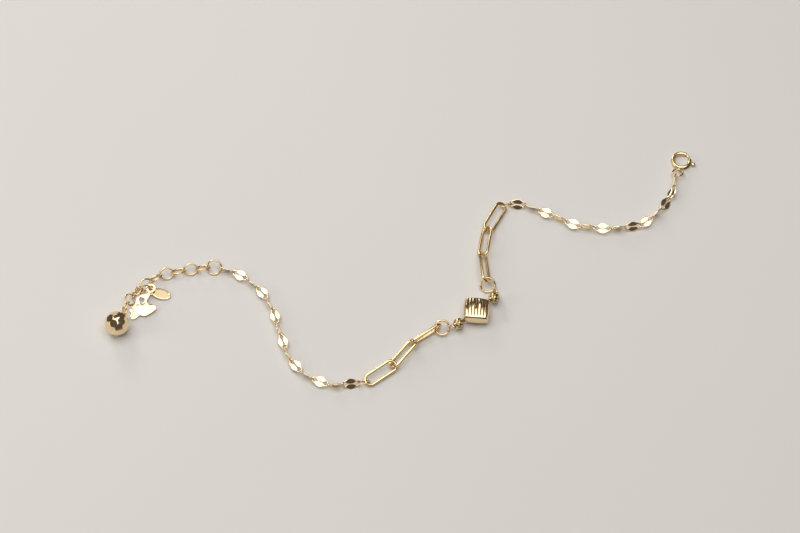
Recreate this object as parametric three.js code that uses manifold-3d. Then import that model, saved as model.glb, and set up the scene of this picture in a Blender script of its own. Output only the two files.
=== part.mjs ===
// Gold chain bracelet lying open on a table. Millimetres, Z up, X along the longest extent.
import * as THREE from 'three';
import { mergeVertices } from 'three/addons/utils/BufferGeometryUtils.js';
import { ConvexGeometry } from 'three/addons/geometries/ConvexGeometry.js';
import Module from 'manifold-3d';

const wasm = await Module();
wasm.setup();

// Links: outer length and width, wire, play left at each joint, sides round the loop
const longLink = { length: 8.9, width: 3.2, wire: 0.7, play: 0.36, steps: 14, straight: true };
const ovalLink = { length: 3.2, width: 2.2, wire: 0.32, play: 0.42, steps: 14, straight: true };
const extenderLink = { length: 3.78, width: 2.95, wire: 0.4, play: 0.15, steps: 12 };
const charmLink = { length: 3.9, width: 2.5, wire: 0.36, steps: 14, straight: true };
const petalLink = { length: 4.2, width: 2.48, wire: 0.36, play: -0.06, lobes: true };
const wireSides = 6;

// A quarter of a petal link, from its end to the middle of a lobe
const petalQuarter = [
  { x: 1.92, y: 0, wide: 0.36, thick: 0.36 },
  { x: 1.62, y: 0.48, wide: 0.35, thick: 0.34 },
  { x: 1.2, y: 0.63, wide: 0.44, thick: 0.3 },
  { x: 0.76, y: 0.58, wide: 0.88, thick: 0.22 },
  { x: 0, y: 0.65, wide: 1.16, thick: 0.2 },
];

// Jump rings: outside diameter, wire, play
const beadRing = { length: 3.8, width: 3.8, wire: 0.5, play: 0.1, steps: 16 };
const extenderRing = { length: 3.7, width: 3.7, wire: 0.4, play: 0.4, steps: 16 };
const claspRing = { length: 2.9, width: 2.9, wire: 0.4, play: 0.5, steps: 14 };

// Beads and the wire through them
const mainBead = {
  side: 6.1, thick: 3.5, cornerRound: 0.28, edgeRound: 0.6,
  ribs: 7, ribDepth: 0.05, bore: 0.46
};
const smallBead = { length: 2.3, radius: 1.3, bore: 0.42, flutes: 8, depth: 0.12, twist: 26 };
const beadWire = { wire: 0.4, eyeRadius: 0.56, eyeWire: 0.3, smallAt: 5.35, endAt: 6.85 };
const beadCentre = new THREE.Vector3(17.5, -13.05, 1.76);
const beadHeading = 40;

// End ball
const ball = { radius: 2.9, loop: 1.7, loopWire: 0.36, loopAt: 3.36, heading: 245, loopRoll: 34 };

// Spring-ring clasp: angles run about its own centre, with the lug at 180
const clasp = { radius: 2.025, tube: 0.95, hollow: 0.68, bolt: 0.46, gapFrom: -72, gapTo: -22 };
const lug = { at: 2.93, size: 1.3, wire: 0.28, lift: 0.185 };
const knob = { angle: -98, at: 3, radius: 0.52, stem: 0.17, tail: 12, tip: 6 };
const slot = { from: -157, to: -90, half: 0.27 };

// Plates that hang on the extender
const charmPlate = { thick: 0.3, bevel: 0.05, eye: 2.2, hole: 1.28, tilt: 8.8 };
const charmOutline = [
  { x: -0.15, y: -0.75 }, { x: -0.2, y: -1.75 }, { x: -0.85, y: -3.6 }, { x: 0.7, y: -4.2 },
  { x: 1.4, y: -5 }, { x: 0.45, y: -6.05 }, { x: -1.15, y: -6.95 }, { x: -2.3, y: -6.75 },
  { x: -3.25, y: -7.55 }, { x: -4.1, y: -7.75 }, { x: -4.5, y: -7.2 }, { x: -4.2, y: -6.3 },
  { x: -4.65, y: -5.4 }, { x: -3.55, y: -4.2 }, { x: -3.1, y: -2.55 }, { x: -2.4, y: -1.75 },
  { x: -1.2, y: -1.25 },
];
const charmCutOut = { x: -2, y: -3.05, width: 1.3, height: 1.7 };
const tagPlate = { length: 4.5, width: 2.6, thick: 0.3, rim: 0.22, dish: 0.08, heading: -14, tilt: 8 };
const tagEar = { size: 2.05, hole: 1.36, away: 2.55 };

// The way the bracelet lies, outwards from each jump ring at the bead
// heading: degrees from +X; bend: turn to the next piece; lie: roll of the first piece
// swing: roll of every second piece past the first, 90 if not given; twist: further roll at each piece
// end: height of the far end
const leftWay = [
  { kind: longLink, count: 1, heading: 215.5, lie: 82, end: 1.57 },
  { kind: longLink, count: 1, heading: 231, lie: 32 },
  { kind: longLink, count: 1, heading: 216.5, lie: -23 },
  { kind: ovalLink, count: 1, heading: 193.5, lie: 36 },
  { kind: petalLink, count: 2, heading: 186.5, bend: -8, lie: -45, twist: 2, name: 'petal_chain_left' },
  { kind: petalLink, count: 4, heading: 159.5, bend: -15.5, lie: -15, swing: 78, name: 'petal_chain_left' },
  { kind: petalLink, count: 3, heading: 107, bend: -0.5, lie: -14, swing: 78, name: 'petal_chain_left' },
  { kind: petalLink, count: 5, heading: 116, bend: 11, lie: 64, swing: -78, name: 'petal_chain_left' },
  { kind: extenderRing, count: 1, heading: 178, lie: -35 },
  { kind: extenderLink, count: 4, heading: 186, bend: 3, lie: 34, swing: -70 },
  { kind: extenderLink, count: 3, heading: 217, bend: 6, lie: 40, swing: -76 },
  { kind: extenderLink, count: 1, heading: 246, lie: -40, end: 2 },
  { kind: extenderLink, count: 1, heading: 262, lie: 56, end: 3.2 },
];
const rightWay = [
  { kind: longLink, count: 1, heading: 96, lie: 52, play: 0.18 },
  { kind: longLink, count: 1, heading: 80, lie: -35, play: 0.1 },
  { kind: longLink, count: 1, heading: 61.5, lie: 32, play: 0.2 },
  { kind: ovalLink, count: 1, heading: 22, lie: -42 },
  { kind: petalLink, count: 2, heading: -8.5, bend: -14, lie: 42, swing: 84, name: 'petal_chain_right' },
  { kind: petalLink, count: 3, heading: -31, bend: 4, lie: 15, swing: 80, name: 'petal_chain_right' },
  { kind: petalLink, count: 2, heading: -7.5, bend: 6, lie: 95, swing: -80, name: 'petal_chain_right' },
  { kind: petalLink, count: 2, heading: 4.5, bend: 6, lie: 106, swing: -50, name: 'petal_chain_right' },
  { kind: petalLink, count: 1, heading: 36, lie: 185, name: 'petal_chain_right' },
  { kind: petalLink, count: 4, heading: 46.5, bend: 10.5, lie: 282, twist: 20, name: 'petal_chain_right' },
  { kind: claspRing, count: 1, heading: 62, lie: -7, end: 0.8 },
];

const gold = { color: 0xd6a450, roughness: 0.18, metalness: 1 };
const paleGold = { color: 0xe0b565, roughness: 0.12, metalness: 1 };
const up = new THREE.Vector3(0, 0, 1);
const bracelet = new THREE.Group();
bracelet.name = 'chain_bracelet';

function rad(degrees) {
  return degrees * Math.PI / 180;
}

function toManifold(geometry) {
  const bare = geometry.clone();
  bare.deleteAttribute('normal');
  bare.deleteAttribute('uv');
  const merged = mergeVertices(bare, 1e-4);
  const triVerts = new Uint32Array(merged.index.array);
  const vertProperties = new Float32Array(merged.attributes.position.array);
  return new wasm.Manifold(new wasm.Mesh({ numProp: 3, vertProperties, triVerts }));
}

function toGeometry(manifold) {
  const mesh = manifold.getMesh();
  const geometry = new THREE.BufferGeometry();
  geometry.setAttribute('position', new THREE.BufferAttribute(mesh.vertProperties, 3));
  geometry.setIndex(new THREE.BufferAttribute(mesh.triVerts, 1));
  return geometry;
}

function fuse(geometries) {
  return toGeometry(geometries.map(toManifold).reduce((whole, next) => whole.add(next)));
}

function cut(geometry, tools) {
  const whole = toManifold(geometry);
  return toGeometry(tools.map(toManifold).reduce((rest, tool) => rest.subtract(tool), whole));
}

function add(name, geometry, finish, matrix = new THREE.Matrix4()) {
  const mesh = new THREE.Mesh(geometry, new THREE.MeshStandardMaterial(finish));
  mesh.name = name;
  matrix.decompose(mesh.position, mesh.quaternion, mesh.scale);
  bracelet.add(mesh);
  return mesh;
}

// Frame of a piece: X from one end to the other, Z its normal, rolled about X
function frameOf(centre, along, roll) {
  const x = along.clone().normalize();
  const side = new THREE.Vector3().crossVectors(up, x).normalize();
  const top = new THREE.Vector3().crossVectors(x, side);
  const z = top.multiplyScalar(Math.cos(rad(roll))).addScaledVector(side, -Math.sin(rad(roll)));
  const y = new THREE.Vector3().crossVectors(z, x);
  return new THREE.Matrix4().makeBasis(x, y, z).setPosition(centre);
}

function planeDirection(heading) {
  return new THREE.Vector3(Math.cos(rad(heading)), Math.sin(rad(heading)), 0);
}

// A closed loop of wire in the XY plane; each outline row is a section of the wire
function wireLoop(outline, sides = wireSides) {
  const count = outline.length;
  const geometry = new THREE.TorusGeometry(1, 0.5, sides, count);
  const { position, uv } = geometry.attributes;
  for (let i = 0; i < position.count; i += 1) {
    const k = Math.round(uv.getX(i) * count);
    const at = outline[k % count];
    const before = outline[(k + count - 1) % count];
    const after = outline[(k + 1) % count];
    const along = new THREE.Vector2(after.x - before.x, after.y - before.y).normalize();
    const angle = uv.getY(i) * 2 * Math.PI;
    const out = Math.cos(angle) * at.wide / 2;
    position.setXYZ(i, at.x + along.y * out, at.y - along.x * out, Math.sin(angle) * at.thick / 2);
  }
  return geometry;
}

function petalOutline() {
  const [end, ...side] = petalQuarter;
  const half = [...side, ...side.slice(0, -1).reverse().map((row) => ({ ...row, x: -row.x }))];
  const back = half.map((row) => ({ ...row, x: -row.x, y: -row.y }));
  return [end, ...half, { ...end, x: -end.x }, ...back];
}

function linkGeometry(kind) {
  if (kind.lobes) {
    return wireLoop(petalOutline());
  }
  const halfWidth = (kind.width - kind.wire) / 2;
  const halfLength = (kind.length - kind.wire) / 2;
  const bend = kind.straight ? halfWidth : halfLength;
  const outline = [];
  for (let k = 0; k < kind.steps; k += 1) {
    const angle = 2 * Math.PI * k / kind.steps;
    const x = bend * Math.cos(angle) + Math.sign(Math.cos(angle)) * (halfLength - bend);
    outline.push({ x, y: halfWidth * Math.sin(angle), wide: kind.wire, thick: kind.wire });
  }
  return wireLoop(outline);
}

// Height of a link's axis when it leans on the table at this roll
function restHeight({ kind, roll }) {
  const edge = kind.lobes ? petalQuarter[petalQuarter.length - 1].thick : kind.wire;
  const reach = (kind.width - edge) / 2;
  return reach * Math.abs(Math.sin(rad(roll))) + edge / 2;
}

// Lays the rows of a way end to end and gives each piece its frame
function walk(rows, start) {
  const pieces = [];
  for (const row of rows) {
    for (let k = 0; k < row.count; k += 1) {
      const heading = row.heading + k * (row.bend ?? 0);
      const roll = row.lie + (k % 2) * (row.swing ?? 90) + k * (row.twist ?? 0);
      pieces.push({ ...row, heading, roll });
    }
  }
  let from = start.clone();
  pieces.forEach((piece, k) => {
    const next = pieces[k + 1] ?? piece;
    const rise = (piece.end ?? Math.max(restHeight(piece), restHeight(next))) - from.z;
    const reach = piece.kind.length - 2 * piece.kind.wire - (piece.play ?? piece.kind.play);
    const level = Math.sqrt(reach * reach - rise * rise);
    const along = planeDirection(piece.heading).multiplyScalar(level).setZ(rise);
    piece.frame = frameOf(from.clone().addScaledVector(along, 0.5), along, piece.roll);
    from = from.clone().add(along);
    piece.end = from;
  });
  return pieces;
}

// Straight or bent round wire with closed ends
function wireAlong(curve, diameter, steps, sides = wireSides) {
  const section = new THREE.Shape();
  for (let k = 0; k < sides; k += 1) {
    const angle = 2 * Math.PI * k / sides;
    const move = k === 0 ? 'moveTo' : 'lineTo';
    section[move](Math.cos(angle) * diameter / 2, Math.sin(angle) * diameter / 2);
  }
  section.closePath();
  return new THREE.ExtrudeGeometry(section, { steps, extrudePath: curve, bevelEnabled: false });
}

function roundLoop(diameter, wire, steps) {
  return linkGeometry({ length: diameter, width: diameter, wire, steps });
}

// Jump rings at the bead lean up a slope, one edge on the table
const ringSlope = 32;
const ringAcross = new THREE.Vector3(1, 0, 0);
const ringUp = new THREE.Vector3(0, Math.cos(rad(ringSlope)), Math.sin(rad(ringSlope)));
const ringNormal = new THREE.Vector3().crossVectors(ringAcross, ringUp);

function onRing(centre, angle, radius) {
  const across = ringAcross.clone().multiplyScalar(radius * Math.cos(rad(angle)));
  return centre.clone().add(across).addScaledVector(ringUp, radius * Math.sin(rad(angle)));
}

function alongRing(angle) {
  const across = ringAcross.clone().multiplyScalar(-Math.sin(rad(angle)));
  return across.addScaledVector(ringUp, Math.cos(rad(angle)));
}

const ringReach = (beadRing.width - beadRing.wire) / 2;
const ringInside = ringReach - beadRing.wire / 2 - beadRing.play;
const ringHeight = ringReach * Math.sin(rad(ringSlope)) + beadRing.wire / 2;
const leftRingCentre = new THREE.Vector3(9.65, -17.4, ringHeight + 0.33);
const rightRingCentre = new THREE.Vector3(20.3, -5.75, ringHeight);
const leftEyeAngle = 14;
const rightEyeAngle = -29;
const leftWayAngle = 165;
const rightWayAngle = 105;
const ringBasis = new THREE.Matrix4().makeBasis(ringAcross, ringUp, ringNormal);
add('ring_bead_left', linkGeometry(beadRing), gold, ringBasis.clone().setPosition(leftRingCentre));
add('ring_bead_right', linkGeometry(beadRing), gold, ringBasis.clone().setPosition(rightRingCentre));

// Main bead: a cushion with ribs across its broad faces, drilled from corner to corner
function eased(a, b, c, roundB, roundC) {
  const edge = (roundB * b * b + roundC * c * c) / 2;
  const corner = roundB * roundC * b * b * c * c / 3;
  return a * Math.sqrt(1 - edge + corner);
}

function mainBeadGeometry() {
  const { side, thick, ribs, ribDepth, cornerRound, edgeRound } = mainBead;
  const geometry = new THREE.BoxGeometry(2, 2, 2, ribs * 2, 4, 2);
  const { position } = geometry.attributes;
  const at = new THREE.Vector3();
  for (let i = 0; i < position.count; i += 1) {
    at.fromBufferAttribute(position, i);
    const x = eased(at.x, at.y, at.z, cornerRound, edgeRound);
    const y = eased(at.y, at.x, at.z, cornerRound, edgeRound);
    const z = eased(at.z, at.x, at.y, edgeRound, edgeRound);
    const valley = (1 + Math.cos(Math.PI * ribs * (at.x + 1))) * (1 - at.y ** 4);
    position.setXYZ(i, x * side / 2, y * side / 2, z * (1 - ribDepth * valley) * thick / 2);
  }
  const drill = new THREE.CylinderGeometry(mainBead.bore, mainBead.bore, mainBead.side * 2, 10);
  drill.rotateZ(rad(45 - 90));
  return cut(geometry, [drill]);
}

const beadTurn = new THREE.Matrix4().makeRotationZ(rad(beadHeading - 45));
add('bead_main', mainBeadGeometry(), paleGold, beadTurn.setPosition(beadCentre));

// Small bead: drilled, with flutes that twist round it; axis along Z
function smallBeadGeometry() {
  const half = smallBead.length / 2;
  const profile = [
    { a: 0, r: smallBead.radius, flute: 1 }, { a: half * 0.55, r: smallBead.radius * 0.86, flute: 1 },
    { a: half, r: smallBead.radius * 0.55, flute: 0 }, { a: half, r: smallBead.bore, flute: 0 },
    { a: -half, r: smallBead.bore, flute: 0 }, { a: -half, r: smallBead.radius * 0.55, flute: 0 },
    { a: -half * 0.55, r: smallBead.radius * 0.86, flute: 1 },
  ];
  const around = smallBead.flutes * 2;
  const geometry = new THREE.TorusGeometry(1, 0.5, profile.length, around);
  const { position, uv } = geometry.attributes;
  for (let i = 0; i < position.count; i += 1) {
    const step = Math.round(uv.getX(i) * around);
    const row = profile[Math.round(uv.getY(i) * profile.length) % profile.length];
    const radius = row.r * (1 - row.flute * smallBead.depth * (step % 2));
    const angle = 2 * Math.PI * step / around + row.flute * rad(smallBead.twist) * row.a / half;
    position.setXYZ(i, radius * Math.cos(angle), radius * Math.sin(angle), row.a);
  }
  return geometry;
}

const beadAxis = planeDirection(beadHeading);
const beadSide = new THREE.Vector3().crossVectors(beadAxis, up);
const beadStand = new THREE.Matrix4().makeBasis(up, beadSide, beadAxis);

function onBeadAxis(distance) {
  return beadCentre.clone().addScaledVector(beadAxis, distance);
}

const leftSmall = beadStand.clone().setPosition(onBeadAxis(-beadWire.smallAt));
const rightSmall = beadStand.clone().setPosition(onBeadAxis(beadWire.smallAt));
add('bead_small_left', smallBeadGeometry(), gold, leftSmall);
add('bead_small_right', smallBeadGeometry(), gold, rightSmall);

// Wire through the beads, bent at each end into an eye round its jump ring
function eyeGeometry(centre, normal) {
  const frame = new THREE.Matrix4().lookAt(normal, new THREE.Vector3(), up).setPosition(centre);
  return roundLoop(2 * beadWire.eyeRadius + beadWire.eyeWire, beadWire.eyeWire, 10).applyMatrix4(frame);
}

function eyeStem(centre, normal, from) {
  const toward = from.clone().sub(centre);
  toward.addScaledVector(normal, -toward.dot(normal)).normalize();
  const foot = centre.clone().addScaledVector(toward, beadWire.eyeRadius);
  const corner = foot.clone().lerp(from, 0.5);
  corner.z = from.z;
  return new THREE.QuadraticBezierCurve3(foot, corner, from);
}

const leftEye = onRing(leftRingCentre, leftEyeAngle, ringReach);
const rightEye = onRing(rightRingCentre, rightEyeAngle, ringReach);
const wireStart = onBeadAxis(-beadWire.endAt);
const wireEnd = onBeadAxis(beadWire.endAt);
const core = new THREE.LineCurve3(wireStart, wireEnd);
const leftStem = eyeStem(leftEye, alongRing(leftEyeAngle), onBeadAxis(0.15 - beadWire.endAt));
const rightStem = eyeStem(rightEye, alongRing(rightEyeAngle), onBeadAxis(beadWire.endAt - 0.15));
add('bead_wire', fuse([
  wireAlong(core, beadWire.wire, 1),
  wireAlong(leftStem, beadWire.wire, 3),
  wireAlong(rightStem, beadWire.wire, 3),
  eyeGeometry(leftEye, alongRing(leftEyeAngle)),
  eyeGeometry(rightEye, alongRing(rightEyeAngle)),
]), gold);

// The two arms
const leftPieces = walk(leftWay, onRing(leftRingCentre, leftWayAngle, ringInside - 0.4));
const rightPieces = walk(rightWay, onRing(rightRingCentre, rightWayAngle, ringInside - 0.15));

function piecesOf(pieces, kind) {
  return pieces.filter((piece) => piece.kind === kind);
}

function addChain(name, pieces) {
  const links = pieces.filter((piece) => piece.name === name);
  add(name, fuse(links.map((piece) => linkGeometry(piece.kind).applyMatrix4(piece.frame))), paleGold);
}

addChain('petal_chain_left', leftPieces);
addChain('petal_chain_right', rightPieces);
const longPieces = [...piecesOf(leftPieces, longLink).reverse(), ...piecesOf(rightPieces, longLink)];
longPieces.forEach((piece, k) => {
  add(`long_link_${k + 1}`, linkGeometry(longLink), gold, piece.frame);
});
add('oval_link_left', linkGeometry(ovalLink), gold, piecesOf(leftPieces, ovalLink)[0].frame);
add('oval_link_right', linkGeometry(ovalLink), gold, piecesOf(rightPieces, ovalLink)[0].frame);
add('ring_extender', linkGeometry(extenderRing), gold, piecesOf(leftPieces, extenderRing)[0].frame);
const extenderPieces = piecesOf(leftPieces, extenderLink);
extenderPieces.forEach((piece, k) => {
  add(`extender_link_${k + 1}`, linkGeometry(extenderLink), gold, piece.frame);
});
add('ring_clasp', linkGeometry(claspRing), gold, piecesOf(rightPieces, claspRing)[0].frame);

// End ball with flat facets, one of them on the table, and a soldered loop
const ballSeed = new THREE.IcosahedronGeometry(1, 1).attributes.position;
const ballCorners = [];
for (let i = 0; i < ballSeed.count; i += 3) {
  const centre = new THREE.Vector3();
  for (let k = 0; k < 3; k += 1) {
    centre.add(new THREE.Vector3().fromBufferAttribute(ballSeed, i + k));
  }
  ballCorners.push(centre.setLength(ball.radius));
}
const ballPeak = new THREE.IcosahedronGeometry(1, 0).attributes.position;
const fiveSided = new THREE.Vector3().fromBufferAttribute(ballPeak, 0).normalize();
const ballTurn = new THREE.Quaternion().setFromUnitVectors(fiveSided, up.clone().negate());
ballCorners.forEach((corner) => corner.applyQuaternion(ballTurn));
const ballHeight = -Math.min(...ballCorners.map((corner) => corner.z));
const ballHold = leftPieces[leftPieces.length - 1].end;
const ballReach = ball.loopAt + ball.loop / 2 - ball.loopWire - 0.15;
const ballLevel = Math.sqrt(ballReach ** 2 - (ballHeight - ballHold.z) ** 2);
const ballCentre = ballHold.clone().addScaledVector(planeDirection(ball.heading), ballLevel).setZ(ballHeight);
const ballLoopFrame = frameOf(new THREE.Vector3(), ballHold.clone().sub(ballCentre), ball.loopRoll);
const ballLoop = roundLoop(ball.loop, ball.loopWire, 12).translate(ball.loopAt, 0, 0);
ballLoop.applyMatrix4(ballLoopFrame);
const ballPlace = new THREE.Matrix4().setPosition(ballCentre);
add('end_ball', fuse([new ConvexGeometry(ballCorners), ballLoop]), paleGold, ballPlace);

// Spring-ring clasp
function arcAt(radius, from, to) {
  const curve = new THREE.CatmullRomCurve3();
  const steps = Math.ceil((to - from) / 15);
  for (let k = 0; k <= steps; k += 1) {
    curve.points.push(planeDirection(from + (to - from) * k / steps).multiplyScalar(radius));
  }
  return curve;
}

function claspGeometry() {
  const steps = 24;
  const from = clasp.gapTo;
  const to = clasp.gapFrom + 360;
  const outer = wireAlong(arcAt(clasp.radius, from, to), clasp.tube, steps, 10);
  const hollow = wireAlong(arcAt(clasp.radius, from - 4, to + 4), clasp.hollow, steps + 1, 10);
  const ring = roundLoop(lug.size, lug.wire, 10).rotateX(rad(90)).translate(-lug.at, 0, lug.lift);
  const cutter = new THREE.Shape();
  cutter.absarc(0, 0, clasp.radius + clasp.tube, rad(slot.from), rad(slot.to), false);
  cutter.absarc(0, 0, clasp.radius + clasp.hollow / 4, rad(slot.to), rad(slot.from), true);
  const slotSettings = { depth: slot.half * 2, bevelEnabled: false, curveSegments: 8 };
  const slotTool = new THREE.ExtrudeGeometry(cutter, slotSettings).translate(0, 0, -slot.half);
  return cut(fuse([outer, ring]), [hollow, slotTool]);
}

function triggerGeometry() {
  const from = knob.angle - knob.tail;
  const bolt = wireAlong(arcAt(clasp.radius, from, clasp.gapTo + knob.tip), clasp.bolt, 12, 8);
  const reach = planeDirection(knob.angle);
  const foot = reach.clone().multiplyScalar(clasp.radius);
  const top = reach.clone().multiplyScalar(knob.at);
  const stem = wireAlong(new THREE.LineCurve3(foot, top), knob.stem * 2, 1);
  const head = new THREE.SphereGeometry(knob.radius, 10, 6).rotateX(rad(90)).scale(1, 1, 0.8);
  return fuse([bolt, stem, head.translate(top.x, top.y, 0)]);
}

const claspHold = rightPieces[rightPieces.length - 1].end;
const claspHeading = 76;
const claspReach = lug.at + lug.size / 2 - lug.wire - 0.06;
const claspCentre = claspHold.clone().addScaledVector(planeDirection(claspHeading), claspReach);
claspCentre.z = clasp.tube / 2;
const claspFrame = frameOf(claspCentre, planeDirection(claspHeading), 0);
add('clasp_body', claspGeometry(), gold, claspFrame);
add('clasp_trigger', triggerGeometry(), gold, claspFrame);

// Charm link over the seventh extender link, with the charm and the tag on its far end
const hook = extenderPieces[6].frame;
const bar = new THREE.Vector3(0, (extenderLink.width - extenderLink.wire) / 2, 0).applyMatrix4(hook);
const charmSlope = 16;
const charmHeading = 12;
const charmWay = planeDirection(charmHeading).multiplyScalar(Math.cos(rad(charmSlope)));
charmWay.z = -Math.sin(rad(charmSlope));
const charmReach = charmLink.length / 2 - charmLink.wire - extenderLink.wire / 2 - 0.42;
const charmShift = new THREE.Vector3(-0.2, 0.75, 0.1);
const charmLinkCentre = bar.clone().addScaledVector(charmWay, charmReach).add(charmShift);
add('charm_link', linkGeometry(charmLink), gold, frameOf(charmLinkCentre, charmWay, 62));
const charmEye = charmLinkCentre.clone().addScaledVector(charmWay, (charmLink.length - charmLink.wire) / 2);

function plate(shape, thick, bevel) {
  const depth = thick - 2 * bevel;
  const settings = { depth, bevelSize: bevel, bevelThickness: bevel, bevelOffset: -bevel, bevelSegments: 1 };
  return new THREE.ExtrudeGeometry(shape, settings).translate(0, 0, -depth / 2);
}

function ovalShape(x, y, width, height, sides) {
  const points = [];
  for (let k = 0; k < sides; k += 1) {
    const angle = 2 * Math.PI * k / sides;
    points.push(new THREE.Vector2(x + Math.cos(angle) * width / 2, y + Math.sin(angle) * height / 2));
  }
  return new THREE.Shape(points);
}

function drill(x, y, width, height) {
  return plate(ovalShape(x, y, width, height, 12), 4, 0.02);
}

function charmGeometry() {
  const outline = charmOutline.map((row) => new THREE.Vector3(row.x, row.y, 0));
  const edge = new THREE.CatmullRomCurve3(outline, true).getPoints(outline.length * 2).slice(0, -1);
  const body = new THREE.Shape(edge.map((point) => new THREE.Vector2(point.x, point.y)).reverse());
  const eye = ovalShape(0, 0, charmPlate.eye, charmPlate.eye, 14);
  const { x, y, width, height } = charmCutOut;
  const whole = fuse([body, eye].map((shape) => plate(shape, charmPlate.thick, charmPlate.bevel)));
  return cut(whole, [drill(0, 0, charmPlate.hole, charmPlate.hole), drill(x, y, width, height)]);
}

function tagGeometry() {
  const { length, width, thick, rim, dish } = tagPlate;
  const face = plate(ovalShape(tagEar.away, 0, length, width, 16), thick, 0.04);
  const ear = plate(ovalShape(0, 0, tagEar.size, tagEar.size, 12), thick, 0.04);
  const hollow = drill(tagEar.away, 0, length - 2 * rim, width - 2 * rim);
  hollow.translate(0, 0, 2 + thick / 2 - dish);
  return cut(fuse([face, ear]), [drill(0, 0, tagEar.hole, tagEar.hole), hollow]);
}

const charmFrame = new THREE.Matrix4().makeRotationX(rad(charmPlate.tilt));
charmFrame.setPosition(charmEye.x + 0.1, charmEye.y + 0.16, charmEye.z + 0.32);
add('charm', charmGeometry(), paleGold, charmFrame);
const tagFrame = new THREE.Matrix4().makeRotationZ(rad(tagPlate.heading));
tagFrame.multiply(new THREE.Matrix4().makeRotationY(rad(tagPlate.tilt)));
tagFrame.setPosition(charmEye.x - 0.02, charmEye.y - 0.2, charmEye.z - 0.27);
add('tag', tagGeometry(), paleGold, tagFrame);

// Origin at the middle of the footprint, on the table
bracelet.updateMatrixWorld(true);
const box = new THREE.Box3().setFromObject(bracelet, true);
bracelet.position.set(-(box.min.x + box.max.x) / 2, -(box.min.y + box.max.y) / 2, -box.min.z);

export default bracelet;
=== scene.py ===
import math

import bmesh
import bpy
from mathutils import Matrix, Vector


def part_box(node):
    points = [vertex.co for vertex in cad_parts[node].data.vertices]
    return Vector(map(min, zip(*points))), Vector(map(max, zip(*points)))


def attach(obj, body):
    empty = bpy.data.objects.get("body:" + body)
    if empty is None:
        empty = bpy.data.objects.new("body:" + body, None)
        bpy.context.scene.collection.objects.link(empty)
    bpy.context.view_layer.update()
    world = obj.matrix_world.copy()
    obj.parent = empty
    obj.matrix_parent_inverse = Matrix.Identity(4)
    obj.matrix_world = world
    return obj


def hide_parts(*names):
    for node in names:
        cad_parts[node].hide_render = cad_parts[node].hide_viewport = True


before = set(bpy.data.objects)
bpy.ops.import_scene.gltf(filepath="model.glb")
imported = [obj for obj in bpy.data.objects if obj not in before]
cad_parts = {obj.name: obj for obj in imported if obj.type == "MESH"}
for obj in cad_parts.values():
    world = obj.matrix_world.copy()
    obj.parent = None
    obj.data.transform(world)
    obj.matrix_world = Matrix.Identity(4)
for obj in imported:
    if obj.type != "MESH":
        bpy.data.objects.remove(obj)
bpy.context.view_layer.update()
print("frame loaded:", len(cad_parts), "nodes")

mm = 0.001
rad = math.radians
fullTurn = 2 * math.pi
up = Vector((0, 0, 1))


# finishes
class Value:
    def __init__(self, finish, socket):
        self.finish = finish
        self.socket = socket

    def calc(self, operation, first, second):
        sockets = {0: first, 1: second}
        return self.finish.node("ShaderNodeMath", {"operation": operation}, sockets)

    def __add__(self, other):
        return self.calc("ADD", self, other)

    def __radd__(self, other):
        return self.calc("ADD", other, self)

    def __mul__(self, other):
        return self.calc("MULTIPLY", self, other)


class Finish:
    def __init__(self, name):
        self.material = bpy.data.materials.new(name)
        self.material.use_nodes = True
        self.tree = self.material.node_tree
        self.shader = self.tree.nodes["Principled BSDF"]

    def put(self, socket, value):
        if isinstance(value, Value):
            self.tree.links.new(value.socket, socket)
        else:
            socket.default_value = value

    def node(self, kind, settings=None, sockets=None, out=0):
        made = self.tree.nodes.new(kind)
        for key, value in (settings or {}).items():
            setattr(made, key, value)
        for key, value in (sockets or {}).items():
            self.put(made.inputs[key], value)
        return Value(self, made.outputs[out])

    def noise(self, place, scale, detail):
        sockets = {"Vector": place, "Scale": scale, "Detail": detail}
        return self.node("ShaderNodeTexNoise", {}, sockets, "Fac")

    def spread(self, value, low, high):
        sockets = {"Value": value, "From Min": low, "From Max": high}
        return self.node("ShaderNodeMapRange", {"clamp": True}, sockets, "Result")

    def blend(self, factor, first, second):
        sockets = {"Factor": factor, 6: first, 7: second}
        return self.node("ShaderNodeMix", {"data_type": "RGBA"}, sockets, 2)

    def stretched(self, place, scale, turn):
        sockets = {"Vector": place, "Scale": scale, "Rotation": turn}
        return self.node("ShaderNodeMapping", {}, sockets)


# the third colour of each gold is the dark brown of painted shade, mixed in where the mesh marks
# grooves or dishes
goldLooks = {
    "polished_gold": {
        "bright": (0.96, 0.8, 0.54, 1),
        "deep": (0.85, 0.64, 0.36, 1),
        "paintedShadeColour": (0.2, 0.12, 0.05, 1),
        "rough": 0.07,
        "cloudRough": 0.08,
        "scratchRough": 0.16,
        "scratchDepth": 0.06,
    },
    "gold_wire": {
        "bright": (0.93, 0.73, 0.44, 1),
        "deep": (0.81, 0.58, 0.29, 1),
        "paintedShadeColour": (0.18, 0.11, 0.04, 1),
        "rough": 0.1,
        "cloudRough": 0.1,
        "scratchRough": 0.18,
        "scratchDepth": 0.08,
    },
    "clasp_gold": {
        "bright": (0.94, 0.75, 0.46, 1),
        "deep": (0.82, 0.6, 0.31, 1),
        "paintedShadeColour": (0.18, 0.11, 0.04, 1),
        "rough": 0.12,
        "cloudRough": 0.12,
        "scratchRough": 0.2,
        "scratchDepth": 0.08,
    },
}


# rubbed patches a few mm wide, a fine grain and two sets of long scratches
goldGrain = {
    "cloudScale": 420,
    "cloudDetail": 3,
    "cloudSpan": (0.3, 0.7),
    "cloudShare": 0.55,
    "fineScale": 5200,
    "fineDetail": 2,
    "fineShare": 0.3,
    "fineHeight": 0.5,
    "scratchDetail": 2,
    "scratchHeight": -0.6,
    "grooveRough": 0.1,
    "bumpDistance": 0.02 * mm,
    "scratches": [
        {"scale": (900, 16000, 16000), "turn": (0, 0, 0.5), "span": (0.62, 0.74)},
        {"scale": (15000, 800, 15000), "turn": (0.3, 0, -0.4), "span": (0.63, 0.75)},
    ],
}


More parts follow.
